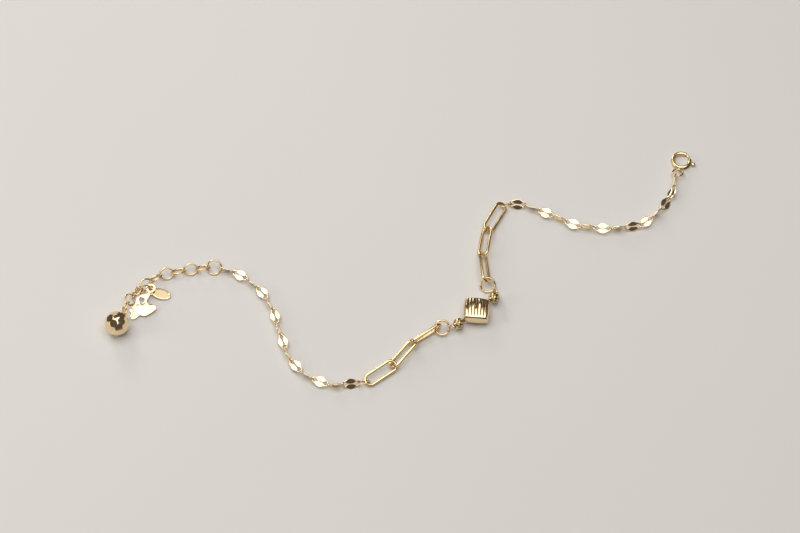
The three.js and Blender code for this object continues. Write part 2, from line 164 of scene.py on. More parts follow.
def goldFinish(name, look):
    grain = goldGrain
    finish = Finish(name)
    place = finish.node("ShaderNodeTexCoord", {}, {}, "Object")
    patches = finish.noise(place, grain["cloudScale"], grain["cloudDetail"])
    cloud = finish.spread(patches, *grain["cloudSpan"])
    fine = finish.noise(place, grain["fineScale"], grain["fineDetail"])
    lines = []
    for row in grain["scratches"]:
        drawn = finish.stretched(place, row["scale"], row["turn"])
        streaks = finish.noise(drawn, 1, grain["scratchDetail"])
        lines.append(finish.spread(streaks, *row["span"]))
    scratch = lines[0] + lines[1]
    # painted shade: the mesh's shade attribute mixes the base colour towards a dark brown, and also
    # raises roughness
    paintedShade = finish.node("ShaderNodeAttribute", {"attribute_name": "paintedShade"}, {}, "Fac")
    share = cloud * grain["cloudShare"] + fine * grain["fineShare"]
    tone = finish.blend(share, look["bright"], look["deep"])
    colour = finish.blend(paintedShade, tone, look["paintedShadeColour"])
    finish.put(finish.shader.inputs["Base Color"], colour)
    rough = look["rough"] + cloud * look["cloudRough"] + scratch * look["scratchRough"]
    rough = rough + paintedShade * grain["grooveRough"]
    finish.put(finish.shader.inputs["Roughness"], rough)
    finish.put(finish.shader.inputs["Metallic"], 1.0)
    height = scratch * grain["scratchHeight"] + fine * grain["fineHeight"]
    sockets = {"Strength": look["scratchDepth"], "Height": height}
    sockets["Distance"] = grain["bumpDistance"]
    bumped = finish.node("ShaderNodeBump", {}, sockets)
    finish.put(finish.shader.inputs["Normal"], bumped)
    return finish.material


finishes = {name: goldFinish(name, look) for name, look in goldLooks.items()}
print("finishes made:", len(finishes))


# helpers
def frameOf(centre, along, roll):
    x = along.normalized()
    side = up.cross(x).normalized()
    z = x.cross(side) * math.cos(rad(roll)) - side * math.sin(rad(roll))
    y = z.cross(x)
    turned = Matrix((x, y, z)).transposed().to_4x4()
    return Matrix.Translation(centre) @ turned


def level(heading):
    return Vector((math.cos(rad(heading)), math.sin(rad(heading)), 0))


def addPiece(name, bm, nodes, slot, body="bracelet", sharp=None):
    bmesh.ops.transform(bm, matrix=toFrame, verts=bm.verts)
    bmesh.ops.scale(bm, vec=(mm, mm, mm), verts=bm.verts)
    mesh = bpy.data.meshes.new(name)
    bm.to_mesh(mesh)
    bm.free()
    mesh.shade_smooth()
    if sharp:
        mesh.set_sharp_from_angle(angle=rad(sharp))
    mesh.materials.append(finishes[slot])
    piece = bpy.data.objects.new(name, mesh)
    bpy.context.scene.collection.objects.link(piece)
    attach(piece, body)
    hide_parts(*nodes)


def join(target, extra, matrix):
    bmesh.ops.transform(extra, matrix=matrix, verts=extra.verts)
    mesh = bpy.data.meshes.new("joining")
    extra.to_mesh(mesh)
    extra.free()
    target.from_mesh(mesh)
    bpy.data.meshes.remove(mesh)


# a ring of wire by spin, then each vertex is moved to the real path and section
loopForm = {"spin": 2, "flatAcross": 0.4, "flatLift": 0.72, "seamSpread": 0.06}
weld = 1e-4
centreAxis = {"axis": up, "cent": (0, 0, 0)}


def wireLoop(path, steps, sides):
    bm = bmesh.new()
    spinRadius = loopForm["spin"]
    stand = Matrix.Translation((spinRadius, 0, 0)) @ Matrix.Rotation(rad(90), 4, "X")
    bmesh.ops.create_circle(bm, segments=sides, radius=1, matrix=stand)
    geom = bm.verts[:] + bm.edges[:]
    bmesh.ops.spin(bm, geom=geom, **centreAxis, angle=fullTurn, steps=steps, use_merge=True)
    bmesh.ops.remove_doubles(bm, verts=bm.verts, dist=weld)
    bmesh.ops.recalc_face_normals(bm, faces=bm.faces)
    for vert in bm.verts:
        turn = math.atan2(vert.co.y, vert.co.x) % fullTurn
        across = math.hypot(vert.co.x, vert.co.y) - spinRadius
        at, out, wide, thick, flat = path(turn)
        across = math.copysign(abs(across) ** (1 - loopForm["flatAcross"] * flat), across)
        lift = math.copysign(abs(vert.co.z) ** (1 - loopForm["flatLift"] * flat), vert.co.z)
        spot = at + out * (across * wide / 2)
        vert.co = Vector((spot.x, spot.y, lift * thick / 2))
    return bm


def ovalPath(kind):
    halfWidth = (kind["width"] - kind["wire"]) / 2
    halfLength = (kind["length"] - kind["wire"]) / 2
    bend = halfWidth if kind.get("straight") else halfLength
    square = kind.get("square", 0)

    def path(turn):
        cos, sin = math.cos(turn), math.sin(turn)
        pull = 1 - square * math.sin(2 * turn) ** 2
        x = bend * cos * pull + math.copysign(halfLength - bend, cos)
        out = Vector((halfWidth * cos, bend * sin)).normalized()
        fromSeam = abs((turn - rad(kind.get("seam", 0)) + math.pi) % fullTurn - math.pi)
        seam = math.exp(-((fromSeam / loopForm["seamSpread"]) ** 2))
        wire = kind["wire"] * (1 - kind.get("notch", 0) * seam)
        return Vector((x, halfWidth * sin * pull)), out, wire, wire, kind.get("flat", 0)

    return path


def smoothRow(rows, spot):
    k = math.floor(spot)
    t = spot - k
    a, b, c, d = (rows[(k + step) % len(rows)] for step in (-1, 0, 1, 2))
    curve = {}
    for key in b:
        slopeIn, slopeOut = (c[key] - a[key]) / 2, (d[key] - b[key]) / 2
        bow = (2 * t**3 - 3 * t**2 + 1) * b[key] + (t**3 - 2 * t**2 + t) * slopeIn
        curve[key] = bow + (3 * t**2 - 2 * t**3) * c[key] + (t**3 - t**2) * slopeOut
    return curve


petal = {
    "length": 4.2,
    "width": 2.48,
    "wire": 0.36,
    "play": -0.06,
    "edge": 0.2,
    "slopeStep": 0.2,
    "flatRatio": 3,
    "steps": 48,
    "sides": 16,
    "quarter": [
        {"x": 1.92, "y": 0, "wide": 0.36, "thick": 0.36},
        {"x": 1.62, "y": 0.48, "wide": 0.35, "thick": 0.34},
        {"x": 1.2, "y": 0.63, "wide": 0.44, "thick": 0.3},
        {"x": 0.76, "y": 0.58, "wide": 0.88, "thick": 0.22},
        {"x": 0, "y": 0.65, "wide": 1.16, "thick": 0.2},
    ],
}


def petalPath():
    end, *side = petal["quarter"]
    half = side + [{**row, "x": -row["x"]} for row in reversed(side[:-1])]
    back = [{**row, "x": -row["x"], "y": -row["y"]} for row in half]
    rows = [end, *half, {**end, "x": -end["x"]}, *back]

    def path(turn):
        spot = turn / fullTurn * len(rows)
        row = smoothRow(rows, spot)
        before = smoothRow(rows, spot - petal["slopeStep"])
        after = smoothRow(rows, spot + petal["slopeStep"])
        along = Vector((after["x"] - before["x"], after["y"] - before["y"])).normalized()
        out = Vector((along.y, -along.x))
        flat = min(max((row["wide"] / row["thick"] - 1) / petal["flatRatio"], 0), 1)
        return Vector((row["x"], row["y"])), out, row["wide"], row["thick"], flat

    return path


def link(kind):
    path = petalPath() if kind is petal else ovalPath(kind)
    return wireLoop(path, kind["steps"], kind["sides"])


def fillEnds(bm):
    bmesh.ops.holes_fill(bm, edges=[edge for edge in bm.edges if edge.is_boundary], sides=0)


wireSides = 12


# wire along a row of points, closed at both ends
def sweep(points, diameter):
    bm = bmesh.new()
    last = len(points) - 1
    ring = bmesh.ops.create_circle(bm, segments=wireSides, radius=diameter / 2)["verts"]
    flat = [vert.co.copy() for vert in ring]
    loop = list({edge for vert in ring for edge in vert.link_edges})
    side = None
    for k, point in enumerate(points):
        along = (points[min(k + 1, last)] - points[max(k - 1, 0)]).normalized()
        if side is None:
            side = along.orthogonal().normalized()
        side = (side - along * side.dot(along)).normalized()
        turned = Matrix((side, along.cross(side), along)).transposed()
        if k:
            grown = bmesh.ops.extrude_edge_only(bm, edges=loop)["geom"]
            loop = [item for item in grown if isinstance(item, bmesh.types.BMEdge)]
            ring = [item for item in grown if isinstance(item, bmesh.types.BMVert)]
        for vert, spot in zip(ring, flat):
            vert.co = point + turned @ spot
    fillEnds(bm)
    bmesh.ops.recalc_face_normals(bm, faces=bm.faces)
    return bm


# how the bracelet lies, outwards from the jump rings at the bead
longLink = {
    "length": 8.9,
    "width": 3.2,
    "wire": 0.7,
    "play": 0.36,
    "straight": True,
    "flat": 0.4,
    "steps": 42,
    "sides": 16,
}
ovalLink = {
    "length": 3.2,
    "width": 2.2,
    "wire": 0.32,
    "play": 0.42,
    "straight": True,
    "steps": 34,
    "sides": 12,
}
extender = {
    "length": 3.78,
    "width": 2.95,
    "wire": 0.4,
    "play": 0.15,
    "square": 0.06,
    "steps": 44,
    "sides": 12,
}
charmLink = {
    "length": 3.9,
    "width": 2.5,
    "wire": 0.36,
    "straight": True,
    "steps": 34,
    "sides": 12,
}
beadRing = {
    "length": 3.8,
    "width": 3.8,
    "wire": 0.5,
    "play": 0.1,
    "seam": -40,
    "notch": 0.45,
    "steps": 144,
    "sides": 14,
}
extenderRing = {
    "length": 3.7,
    "width": 3.7,
    "wire": 0.4,
    "play": 0.4,
    "steps": 48,
    "sides": 12,
}
claspRing = {
    "length": 2.9,
    "width": 2.9,
    "wire": 0.4,
    "play": 0.5,
    "steps": 40,
    "sides": 12,
}
wayColumns = ("kind", "count", "heading", "bend", "lie", "swing", "twist", "end", "play")
leftWay = [
    (longLink, 1, 215.5, 0, 82, 90, 0, 1.57, None),
    (longLink, 1, 231, 0, 32, 90, 0, None, None),
    (longLink, 1, 216.5, 0, -23, 90, 0, None, None),
    (ovalLink, 1, 193.5, 0, 36, 90, 0, None, None),
    (petal, 2, 186.5, -8, -45, 90, 2, None, None),
    (petal, 4, 159.5, -15.5, -15, 78, 0, None, None),
    (petal, 3, 107, -0.5, -14, 78, 0, None, None),
    (petal, 5, 116, 11, 64, -78, 0, None, None),
    (extenderRing, 1, 178, 0, -35, 90, 0, None, None),
    (extender, 4, 186, 3, 34, -70, 0, None, None),
    (extender, 3, 217, 6, 40, -76, 0, None, None),
    (extender, 1, 246, 0, -40, 90, 0, 2, None),
    (extender, 1, 262, 0, 56, 90, 0, 3.2, None),
]
rightWay = [
    (longLink, 1, 96, 0, 52, 90, 0, None, 0.18),
    (longLink, 1, 80, 0, -35, 90, 0, None, 0.1),
    (longLink, 1, 61.5, 0, 32, 90, 0, None, 0.2),
    (ovalLink, 1, 22, 0, -42, 90, 0, None, None),
    (petal, 2, -8.5, -14, 42, 84, 0, None, None),
    (petal, 3, -31, 4, 15, 80, 0, None, None),
    (petal, 2, -7.5, 6, 95, -80, 0, None, None),
    (petal, 2, 4.5, 6, 106, -50, 0, None, None),
    (petal, 1, 36, 0, 185, 90, 0, None, None),
    (petal, 4, 46.5, 10.5, 282, 90, 20, None, None),
    (claspRing, 1, 62, 0, -7, 90, 0, 0.8, None),
]


def restHeight(kind, roll):
    edge = kind.get("edge", kind["wire"])
    return (kind["width"] - edge) / 2 * abs(math.sin(rad(roll))) + edge / 2


def walk(rows, start):
    pieces = []
    for cells in rows:
        row = dict(zip(wayColumns, cells))
        for k in range(row["count"]):
            piece = {"kind": row["kind"], "end": row["end"], "play": row["play"]}
            piece["heading"] = row["heading"] + k * row["bend"]
            piece["roll"] = row["lie"] + k % 2 * row["swing"] + k * row["twist"]
            if row["play"] is None:
                piece["play"] = row["kind"]["play"]
            pieces.append(piece)
    spot = start.copy()
    for k, piece in enumerate(pieces):
        after = pieces[min(k + 1, len(pieces) - 1)]
        kind = piece["kind"]
        height = piece["end"]
        if height is None:
            own = restHeight(kind, piece["roll"])
            height = max(own, restHeight(after["kind"], after["roll"]))
        rise = height - spot.z
        reach = kind["length"] - 2 * kind["wire"] - piece["play"]
        along = level(piece["heading"]) * math.sqrt(reach**2 - rise**2)
        along.z = rise
        piece["place"] = frameOf(spot + along / 2, along, piece["roll"])
        spot = spot + along
        piece["end"] = spot.copy()
    return pieces


bead = {
    "centre": Vector((17.5, -13.05, 1.76)),
    "heading": 40,
    "side": 6.1,
    "thick": 3.5,
    "ribs": 7,
    "ribDepth": 0.05,
    "ribSharp": 7,
    "ribLean": 0.11,
    "leanStart": 1,
    "leanStep": 2.4,
    "tint": 0.8,
    "valleyShadeSharp": 6,
    "sideFade": 4,
    "topFade": 6,
    "cornerRound": 0.28,
    "edgeRound": 0.6,
    "bore": 0.46,
    "boreSides": 24,
    "cuts": 83,
}
beadRings = {
    "slope": 32,
    "left": (9.65, -17.4, 0.33),
    "right": (20.3, -5.75, 0),
    "leftWay": 165,
    "rightWay": 105,
    "leftSlack": 0.4,
    "rightSlack": 0.15,
}
ringReach = (beadRing["width"] - beadRing["wire"]) / 2
ringInside = ringReach - beadRing["wire"] / 2 - beadRing["play"]
ringHeight = ringReach * math.sin(rad(beadRings["slope"])) + beadRing["wire"] / 2
ringUp = Vector((0, math.cos(rad(beadRings["slope"])), math.sin(rad(beadRings["slope"]))))
ringAcross = Vector((1, 0, 0))
leftRing = Vector(beadRings["left"]) + up * ringHeight
rightRing = Vector(beadRings["right"]) + up * ringHeight


def onRing(centre, angle, radius):
    across = ringAcross * (radius * math.cos(rad(angle)))
    return centre + across + ringUp * (radius * math.sin(rad(angle)))


def alongRing(angle):
    return ringUp * math.cos(rad(angle)) - ringAcross * math.sin(rad(angle))


# the solids are centred on their footprint: the main bead tells how far they were moved
beadLow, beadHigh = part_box("bead_main")
beadShift = (beadLow + beadHigh) / 2 / mm - bead["centre"]
toFrame = Matrix.Translation((beadShift.x, beadShift.y, 0))
leftHold = onRing(leftRing, beadRings["leftWay"], ringInside - beadRings["leftSlack"])
rightHold = onRing(rightRing, beadRings["rightWay"], ringInside - beadRings["rightSlack"])
leftPieces = walk(leftWay, leftHold)
rightPieces = walk(rightWay, rightHold)
moved = tuple(round(v, 4) for v in beadShift)
print("laid out:", len(leftPieces) + len(rightPieces), "links, moved", moved)


def placed(kind, pieces):
    return [piece for piece in pieces if piece["kind"] is kind]


def addLink(name, kind, place, node):
    bm = link(kind)
    bmesh.ops.transform(bm, matrix=place, verts=bm.verts)
    addPiece(name, bm, [node], "gold_wire")


longPieces = placed(longLink, leftPieces)[::-1] + placed(longLink, rightPieces)
for k, piece in enumerate(longPieces):
    addLink(f"longLink{k + 1}", longLink, piece["place"], f"long_link_{k + 1}")
extenderPieces = placed(extender, leftPieces)
for k, piece in enumerate(extenderPieces):
    addLink(f"extenderLink{k + 1}", extender, piece["place"], f"extender_link_{k + 1}")
addLink("ovalLinkLeft", ovalLink, placed(ovalLink, leftPieces)[0]["place"], "oval_link_left")
addLink("ovalLinkRight", ovalLink, placed(ovalLink, rightPieces)[0]["place"], "oval_link_right")
addLink("ringExtender", extenderRing, placed(extenderRing, leftPieces)[0]["place"], "ring_extender")
addLink("ringClasp", claspRing, placed(claspRing, rightPieces)[0]["place"], "ring_clasp")
ringTurn = Matrix((ringAcross, ringUp, ringAcross.cross(ringUp))).transposed().to_4x4()
addLink("ringBeadLeft", beadRing, Matrix.Translation(leftRing) @ ringTurn, "ring_bead_left")
addLink("ringBeadRight", beadRing, Matrix.Translation(rightRing) @ ringTurn, "ring_bead_right")
for name, node, pieces in (
    ("petalChainLeft", "petal_chain_left", leftPieces),
    ("petalChainRight", "petal_chain_right", rightPieces),
):
    chain = bmesh.new()
    for piece in placed(petal, pieces):
        join(chain, link(petal), piece["place"])
    addPiece(name, chain, [node], "polished_gold", sharp=50)
print("links made")


# main bead: a cushion with ribs, drilled corner to corner
def eased(a, b, c, roundB, roundC):
    edge = (roundB * b * b + roundC * c * c) / 2
    return a * math.sqrt(1 - edge + roundB * roundC * b * b * c * c / 3)


def drilled(bm, tool):
    holder = bpy.data.meshes.new("drilling")
    bm.to_mesh(holder)
    bit = bpy.data.meshes.new("bit")
    tool.to_mesh(bit)
    work = bpy.data.objects.new("drilling", holder)
    cutter = bpy.data.objects.new("bit", bit)
    for item in (work, cutter):
        bpy.context.scene.collection.objects.link(item)
    cut = work.modifiers.new("drill", "BOOLEAN")
    cut.object = cutter
    cut.solver = "EXACT"
    bpy.context.view_layer.update()
    evaluated = work.evaluated_get(bpy.context.evaluated_depsgraph_get())
    done = bpy.data.meshes.new_from_object(evaluated)
    bm.clear()
    bm.from_mesh(done)
    tool.free()
    for item in (work, cutter):
        bpy.data.objects.remove(item)
    for mesh in (holder, bit, done):
        bpy.data.meshes.remove(mesh)


mainBead = bmesh.new()
bmesh.ops.create_cube(mainBead, size=2)
cubeEdges = mainBead.edges[:]
bmesh.ops.subdivide_edges(mainBead, edges=cubeEdges, cuts=bead["cuts"], use_grid_fill=True)
paintedShade = mainBead.verts.layers.float.new("paintedShade")
corner, edge = bead["cornerRound"], bead["edgeRound"]
ribNudge = 0.001
for vert in mainBead.verts:
    x, y, z = vert.co
    valley = (1 + math.cos(math.pi * bead["ribs"] * (x + 1))) / 2
    broad = (1 - y ** bead["sideFade"]) * abs(z) ** bead["topFade"]
    rib = math.floor((x + 1) * bead["ribs"] / 2 + ribNudge)
    ribTurn = bead["leanStep"] * rib + bead["leanStart"]
    lean = bead["ribLean"] * math.sin(ribTurn) * y * (1 - y * y)
    depth = 1 - (2 * bead["ribDepth"] * valley ** bead["ribSharp"] + lean) * broad
    # painted shade: the rib valleys on the top and bottom faces get a shade weight that darkens
    # their colour
    vert[paintedShade] = valley ** bead["valleyShadeSharp"] * bead["tint"] * broad
    height = eased(z, x, y, edge, edge) * depth
    vert.co = Vector((eased(x, y, z, corner, edge), eased(y, x, z, corner, edge), height))
beadSize = (bead["side"] / 2, bead["side"] / 2, bead["thick"] / 2)
bmesh.ops.scale(mainBead, vec=beadSize, verts=mainBead.verts)
bit = bmesh.new()
lying = Matrix.Rotation(rad(45), 4, "Z") @ Matrix.Rotation(rad(90), 4, "Y")
bore = {"radius1": bead["bore"], "radius2": bead["bore"], "depth": 2 * bead["side"]}
bmesh.ops.create_cone(bit, cap_ends=True, matrix=lying, segments=bead["boreSides"], **bore)
drilled(mainBead, bit)
beadTurn = Matrix.Rotation(rad(bead["heading"] - 45), 4, "Z")
beadPlace = Matrix.Translation(bead["centre"]) @ beadTurn
bmesh.ops.transform(mainBead, matrix=beadPlace, verts=mainBead.verts)
addPiece("mainBead", mainBead, ["bead_main"], "polished_gold", sharp=60)

# small beads: a spun profile, then twisting flutes and finer cuts that cross them
smallBead = {
    "length": 2.3,
    "radius": 1.3,
    "bulge": 0.7,
    "bore": 0.42,
    "boreMargin": 0.01,
    "depth": 0.12,
    "endFade": 4,
    "flutes": 8,
    "fluteSharp": 1.5,
    "fluteShare": 0.4,
    "twist": 26,
    "cuts": 8,
    "cutSharp": 3,
    "cutShare": 0.7,
    "cutLean": 38,
    "at": 5.35,
    "rows": 32,
    "steps": 176,
}


def smallBeadMesh():
    half, radius = smallBead["length"] / 2, smallBead["radius"]
    bm = bmesh.new()
    outline = [(-half, smallBead["bore"])]
    for k in range(smallBead["rows"] + 1):
        a = -1 + 2 * k / smallBead["rows"]
        outline.append((a * half, radius * math.sqrt(1 - smallBead["bulge"] * a * a)))
    outline.append((half, smallBead["bore"]))
    verts = [bm.verts.new((r, 0, a)) for a, r in outline]
    edges = [bm.edges.new(pair) for pair in zip(verts, verts[1:] + verts[:1])]
    geom, steps = verts + edges, smallBead["steps"]
    bmesh.ops.spin(bm, geom=geom, **centreAxis, angle=fullTurn, steps=steps, use_merge=True)
    bmesh.ops.remove_doubles(bm, verts=bm.verts, dist=weld)
    bmesh.ops.recalc_face_normals(bm, faces=bm.faces)
    valley = bm.verts.layers.float.new("paintedShade")
    for vert in bm.verts:
        distance = math.hypot(vert.co.x, vert.co.y)
        if distance < smallBead["bore"] + smallBead["boreMargin"]:
            continue
        turn = math.atan2(vert.co.y, vert.co.x)
        a = vert.co.z / half
        twisted = turn - rad(smallBead["twist"]) * a
        wave = 0.5 - 0.5 * math.cos(smallBead["flutes"] * twisted)
        leans = [turn + sign * rad(smallBead["cutLean"]) * a for sign in (-1, 1)]
        lines = [0.5 + 0.5 * math.cos(smallBead["cuts"] * lean) for lean in leans]
        cut = max(line ** smallBead["cutSharp"] for line in lines)
        flute = wave ** smallBead["fluteSharp"]
        fade = 1 - a ** smallBead["endFade"]
        # painted shade: the cut lines get a shade weight that darkens their colour, fading towards
        # the ends
        vert[valley] = cut * fade
        sunk = smallBead["fluteShare"] * flute + smallBead["cutShare"] * cut
        shrink = 1 - smallBead["depth"] * sunk * fade
        vert.co.x *= shrink
        vert.co.y *= shrink
    return bm


beadAxis = level(bead["heading"])
beadStand = Matrix((up, beadAxis.cross(up), beadAxis)).transposed().to_4x4()
for name, node, sign in (
    ("smallBeadLeft", "bead_small_left", -1),
    ("smallBeadRight", "bead_small_right", 1),
):
    bm = smallBeadMesh()
    spot = bead["centre"] + beadAxis * (sign * smallBead["at"])
    bmesh.ops.transform(bm, matrix=Matrix.Translation(spot) @ beadStand, verts=bm.verts)
    addPiece(name, bm, [node], "gold_wire", sharp=50)

# wire through the beads, with an eye at each end
beadWire = {
    "wire": 0.4,
    "eyeRadius": 0.56,
    "eyeWire": 0.3,
    "endAt": 6.85,
    "overlap": 0.15,
    "leftEye": 14,
    "rightEye": -29,
    "threadSteps": 4,
    "bowSteps": 8,
}


def roundLoop(size, wire, steps):
    return link({"length": size, "width": size, "wire": wire, "steps": steps, "sides": wireSides})


wireEnds = [bead["centre"] + beadAxis * (sign * beadWire["endAt"]) for sign in (-1, 1)]
threadSteps, bowSteps = beadWire["threadSteps"], beadWire["bowSteps"]
thread = [wireEnds[0].lerp(wireEnds[1], k / threadSteps) for k in range(threadSteps + 1)]
threaded = sweep(thread, beadWire["wire"])
eyeSize = 2 * beadWire["eyeRadius"] + beadWire["eyeWire"]
for ring, angle, sign in (
    (leftRing, beadWire["leftEye"], -1),
    (rightRing, beadWire["rightEye"], 1),
):
    centre = onRing(ring, angle, ringReach)
    normal = alongRing(angle)
    start = bead["centre"] + beadAxis * (sign * (beadWire["endAt"] - beadWire["overlap"]))
    toward = start - centre
    toward = (toward - normal * toward.dot(normal)).normalized()
    foot = centre + toward * beadWire["eyeRadius"]
    corner = foot.lerp(start, 0.5)
    corner.z = start.z
    shares = [k / bowSteps for k in range(bowSteps + 1)]
    bow = [foot.lerp(corner, t).lerp(corner.lerp(start, t), t) for t in shares]
    join(threaded, sweep(bow, beadWire["wire"]), Matrix.Identity(4))
    turned = Matrix((toward, normal.cross(toward), normal)).transposed().to_4x4()
    eye = roundLoop(eyeSize, beadWire["eyeWire"], steps=32)
    join(threaded, eye, Matrix.Translation(centre) @ turned)
addPiece("beadWire", threaded, ["bead_wire"], "gold_wire", sharp=60)
print("beads made")

# end ball: the solid's own corners give the flat facets
ball = {
    "radius": 2.9,
    "edge": 0.07,
    "near": 0.01,
    "facetAngle": 3,
    "loop": 1.7,
    "loopWire": 0.36,
    "loopAt": 3.36,
    "loopRoll": 34,
}
ballHold = leftPieces[-1]["end"]
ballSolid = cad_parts["end_ball"]
ballCorners = bmesh.new()
corners = {tuple(round(v / mm, 3) for v in vert.co) for vert in ballSolid.data.vertices}
corners = [Vector(spot) for spot in sorted(corners)]
standing = [spot for spot in corners if spot.z < ball["near"]]  # the facet that it stands on
ballCentre = sum(standing, Vector()) / len(standing)
ballCentre.z = math.sqrt(ball["radius"] ** 2 - (standing[0] - ballCentre).length_squared)
for spot in corners:
    if abs((spot - ballCentre).length - ball["radius"]) < ball["near"]:
        ballCorners.verts.new(spot - ballCentre)
bmesh.ops.remove_doubles(ballCorners, verts=ballCorners.verts, dist=ball["near"])
bmesh.ops.convex_hull(ballCorners, input=ballCorners.verts)
hull = {"verts": ballCorners.verts, "edges": ballCorners.edges}
bmesh.ops.dissolve_limit(ballCorners, angle_limit=rad(ball["facetAngle"]), **hull)
rounded = {"affect": "EDGES", "segments": 3, "profile": 0.5, "material": -1}
ballEdges = ballCorners.edges[:]
bmesh.ops.bevel(ballCorners, geom=ballEdges, offset=ball["edge"], clamp_overlap=True, **rounded)
bmesh.ops.recalc_face_normals(ballCorners, faces=ballCorners.faces)
ballCentre -= toFrame.translation
loopTurn = frameOf(Vector((0, 0, 0)), ballHold - ballCentre, ball["loopRoll"])
loopPlace = loopTurn @ Matrix.Translation((ball["loopAt"], 0, 0))
join(ballCorners, roundLoop(ball["loop"], ball["loopWire"], steps=36), loopPlace)
bmesh.ops.translate(ballCorners, vec=ballCentre, verts=ballCorners.verts)
addPiece("endBall", ballCorners, ["end_ball"], "polished_gold", sharp=14)
print("ball made")

# spring-ring clasp: angles run about its own centre, with the lug at 180
clasp = {
    "radius": 2.025,
    "tube": 0.95,
    "hollow": 0.68,
    "gapFrom": -72,
    "gapTo": -22,
    "slotFrom": -157,
    "slotTo": -89,
    "slotHalf": 34,
    "heading": 76,
    "step": 5,
    "sides": 16,
}
lug = {"at": 2.93, "size": 1.3, "wire": 0.28, "lift": 0.185, "play": 0.06}
trigger = {
    "bolt": 0.46,
    "boltSides": 14,
    "from": -110,
    "to": -16,
    "stem": 0.34,
    "knob": 0.52,
    "knobFlat": 0.8,
    "knobAngle": -98,
    "knobAt": 3,
}


def arcOf(section, radius, start, end, sides):
    bm = bmesh.new()
    flatStart = Matrix.Rotation(rad(start), 4, "Z") @ Matrix.Translation((radius, 0, 0))
    upright = Matrix.Rotation(rad(90), 4, "X") @ Matrix.Rotation(rad(180 / sides), 4, "Z")
    stand = flatStart @ upright
    bmesh.ops.create_circle(bm, segments=sides, radius=section / 2, matrix=stand)
    steps = round((end - start) / clasp["step"])
    geom = bm.verts[:] + bm.edges[:]
    bmesh.ops.spin(bm, geom=geom, **centreAxis, angle=rad(end - start), steps=steps)
    bmesh.ops.recalc_face_normals(bm, faces=bm.faces)
    return bm


tubeEnd = clasp["gapFrom"] + 360
claspTube = arcOf(clasp["tube"], clasp["radius"], clasp["gapTo"], tubeEnd, clasp["sides"])
slotFaces = []
for face in claspTube.faces:
    centre = face.calc_center_median()
    angle = (math.degrees(math.atan2(centre.y, centre.x)) + 360) % 360 - 360
    outward = math.hypot(centre.x, centre.y) - clasp["radius"]
    lean = math.degrees(math.atan2(centre.z, outward))
    if clasp["slotFrom"] < angle < clasp["slotTo"] and abs(lean) < clasp["slotHalf"]:
        slotFaces.append(face)
bmesh.ops.delete(claspTube, geom=slotFaces, context="FACES")
wall = (clasp["tube"] - clasp["hollow"]) / 2
bmesh.ops.solidify(claspTube, geom=claspTube.faces[:], thickness=wall)
bmesh.ops.recalc_face_normals(claspTube, faces=claspTube.faces)
lugPlace = Matrix.Translation((-lug["at"], 0, lug["lift"])) @ Matrix.Rotation(rad(90), 4, "X")
join(claspTube, roundLoop(lug["size"], lug["wire"], steps=32), lugPlace)
claspHold = rightPieces[-1]["end"]
claspReach = lug["at"] + lug["size"] / 2 - lug["wire"] - lug["play"]
claspCentre = claspHold + level(clasp["heading"]) * claspReach
claspCentre.z = clasp["tube"] / 2
claspPlace = frameOf(claspCentre, level(clasp["heading"]), 0)
bmesh.ops.transform(claspTube, matrix=claspPlace, verts=claspTube.verts)
addPiece("claspTube", claspTube, ["clasp_body"], "clasp_gold", sharp=40)

boltSpan = (trigger["from"], trigger["to"])
claspBolt = arcOf(trigger["bolt"], clasp["radius"], *boltSpan, trigger["boltSides"])
fillEnds(claspBolt)
reach = level(trigger["knobAngle"])
stem = sweep([reach * clasp["radius"], reach * trigger["knobAt"]], trigger["stem"])
join(claspBolt, stem, Matrix.Identity(4))
knobHead = bmesh.new()
bmesh.ops.create_uvsphere(knobHead, u_segments=24, v_segments=14, radius=trigger["knob"])
knobShape = Matrix.Diagonal((1, 1, trigger["knobFlat"], 1))
join(claspBolt, knobHead, Matrix.Translation(reach * trigger["knobAt"]) @ knobShape)
bmesh.ops.transform(claspBolt, matrix=claspPlace, verts=claspBolt.verts)
addPiece("claspTrigger", claspBolt, ["clasp_trigger"], "clasp_gold", body="trigger", sharp=50)
print("clasp made")

# charm link over the seventh extender link, with the charm and the tag on its far end
charmHook = {
    "over": 7,
    "slope": 16,
    "heading": 12,
    "roll": 62,
    "clear": 0.42,
    "shift": (-0.2, 0.75, 0.1),
}
charm = {
    "thick": 0.3,
    "bevel": 0.05,
    "eye": 2.2,
    "eyeExtra": 0.03,
    "eyeSides": 40,
    "hole": 1.28,
    "tilt": 8.8,
    "from": (0.1, 0.16, 0.32),
    "cutOut": {"x": -2, "y": -3.05, "width": 1.3, "height": 1.7, "sides": 36},
    "lobes": {"count": 3, "depth": 0.16, "turn": 0.6},
    "perCorner": 5,
    "outline": [
        {"x": -0.15, "y": -0.75},
        {"x": -0.2, "y": -1.75},
        {"x": -0.85, "y": -3.6},
        {"x": 0.7, "y": -4.2},
        {"x": 1.4, "y": -5},
        {"x": 0.45, "y": -6.05},
        {"x": -1.15, "y": -6.95},
        {"x": -2.3, "y": -6.75},
        {"x": -3.25, "y": -7.55},
        {"x": -4.1, "y": -7.75},
        {"x": -4.5, "y": -7.2},
        {"x": -4.2, "y": -6.3},
        {"x": -4.65, "y": -5.4},
        {"x": -3.55, "y": -4.2},
        {"x": -3.1, "y": -2.55},
        {"x": -2.4, "y": -1.75},
        {"x": -1.2, "y": -1.25},
    ],
}
tag = {
    "length": 4.5,
    "width": 2.6,
    "thick": 0.3,
    "sides": 64,
    "bevel": 0.05,
    "rim": 0.22,
    "dish": 0.08,
    "dishSlope": 0.08,
    "satinAndShade": 0.6,
    "heading": -14,
    "tilt": 8,
    "ear": 2.05,
    "earThinner": 0.04,
    "earSides": 36,
    "hole": 1.36,
    "away": 2.55,
    "from": (-0.02, -0.2, -0.27),
}


